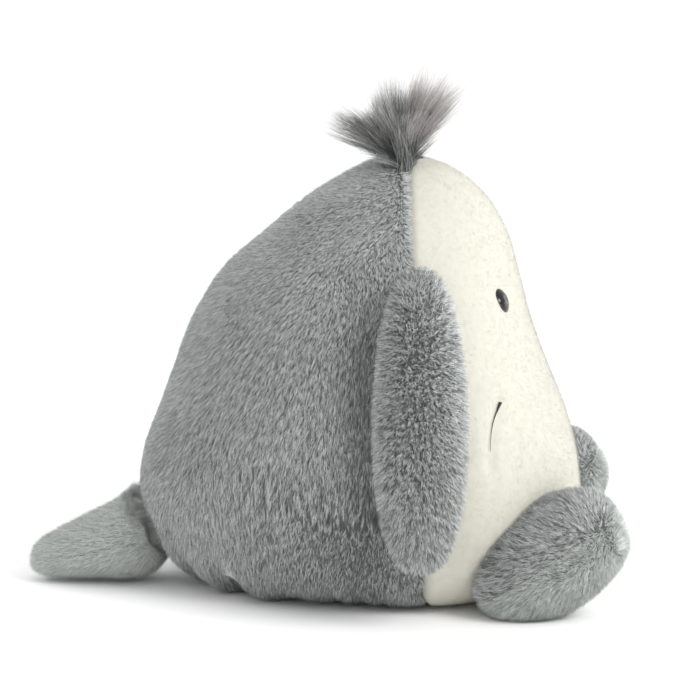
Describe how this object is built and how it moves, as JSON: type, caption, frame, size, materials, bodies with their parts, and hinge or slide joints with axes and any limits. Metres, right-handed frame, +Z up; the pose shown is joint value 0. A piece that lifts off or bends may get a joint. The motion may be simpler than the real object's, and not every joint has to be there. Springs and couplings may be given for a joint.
{
  "type": "seated plush sea animal",
  "caption": "Seated drop-shaped plush animal with a furry grey back, a white face, hanging flippers, feet, a short tail and a tuft of long hair.",
  "frame": {"origin": "on the floor, in the flat underside that the toy sits on, under the middle of the body", "axes": "+X is where the toy faces, +Y is its left side, +Z is up"},
  "size_m": [0.3298, 0.281, 0.293],
  "materials": {
    "grey_fur": "matte",
    "light_fur": "matte",
    "white_plush": "matte",
    "long_hair": "satin",
    "filling": "matte",
    "pouch_cloth": "matte",
    "seam_thread": "satin",
    "mouth_thread": "satin",
    "eye_plastic": "gloss",
    "washer_plastic": "satin"
  },
  "bodies": {
    "body": {"back_panel_right": "grey_fur", "back_panel_left": "grey_fur", "face_panel": "white_plush", "base_panel": "grey_fur", "body_filling": "filling", "pellet_pouch": "pouch_cloth", "right_face_seam_thread": "seam_thread", "left_face_seam_thread": "seam_thread", "back_seam_thread": "seam_thread", "base_seam_thread": "seam_thread", "right_mouth_stitch": "mouth_thread", "left_mouth_stitch": "mouth_thread", "right_eye": "eye_plastic", "left_eye": "eye_plastic", "right_eye_washer": "washer_plastic", "left_eye_washer": "washer_plastic", "hair_strip": "grey_fur", "hair_tuft": "long_hair"},
    "right_arm_root": {"right_arm_root_stitch": "seam_thread"},
    "right_arm": {"right_arm_outer_panel": "grey_fur", "right_arm_inner_panel": "grey_fur", "right_arm_filling": "filling"},
    "left_arm_root": {"left_arm_root_stitch": "seam_thread"},
    "left_arm": {"left_arm_outer_panel": "grey_fur", "left_arm_inner_panel": "grey_fur", "left_arm_filling": "filling"},
    "right_foot": {"right_foot_upper_panel": "grey_fur", "right_foot_sole_panel": "light_fur", "right_foot_filling": "filling"},
    "left_foot": {"left_foot_upper_panel": "grey_fur", "left_foot_sole_panel": "light_fur", "left_foot_filling": "filling"},
    "tail_root": {"tail_root_stitch": "seam_thread"},
    "tail": {"tail_upper_panel": "light_fur", "tail_lower_panel": "light_fur", "tail_filling": "filling"}
  },
  "joints": [
    {"name": "right_arm_lift", "type": "hinge", "parent": "body", "child": "right_arm_root", "pos_m": [0.037, -0.0753, 0.1896], "axis": [-1, 0, 0], "range_deg": [0, 100]},
    {"name": "right_arm_swing", "type": "hinge", "parent": "right_arm_root", "child": "right_arm", "pos_m": [0.037, -0.0753, 0.1896], "axis": [0, -1, 0], "range_deg": [-25, 15]},
    {"name": "left_arm_lift", "type": "hinge", "parent": "body", "child": "left_arm_root", "pos_m": [0.037, 0.0753, 0.1896], "axis": [1, 0, 0], "range_deg": [0, 100]},
    {"name": "left_arm_swing", "type": "hinge", "parent": "left_arm_root", "child": "left_arm", "pos_m": [0.037, 0.0753, 0.1896], "axis": [0, -1, 0], "range_deg": [-25, 15]},
    {"name": "right_foot_lift", "type": "hinge", "parent": "body", "child": "right_foot", "pos_m": [0.1056, -0.0833, 0.064], "axis": [-0.6467, -0.7627, 0], "range_deg": [0, 20]},
    {"name": "left_foot_lift", "type": "hinge", "parent": "body", "child": "left_foot", "pos_m": [0.1056, 0.0833, 0.064], "axis": [0.6467, -0.7627, 0], "range_deg": [0, 20]},
    {"name": "tail_lift", "type": "hinge", "parent": "body", "child": "tail_root", "pos_m": [-0.118, 0, 0.04], "axis": [0, 1, 0], "range_deg": [0, 20], "stiffness_Nm_per_rad": 0.03},
    {"name": "tail_wag", "type": "hinge", "parent": "tail_root", "child": "tail", "pos_m": [-0.118, 0, 0.04], "axis": [0, 0, 1], "range_deg": [-15, 15], "stiffness_Nm_per_rad": 0.03}
  ]
}
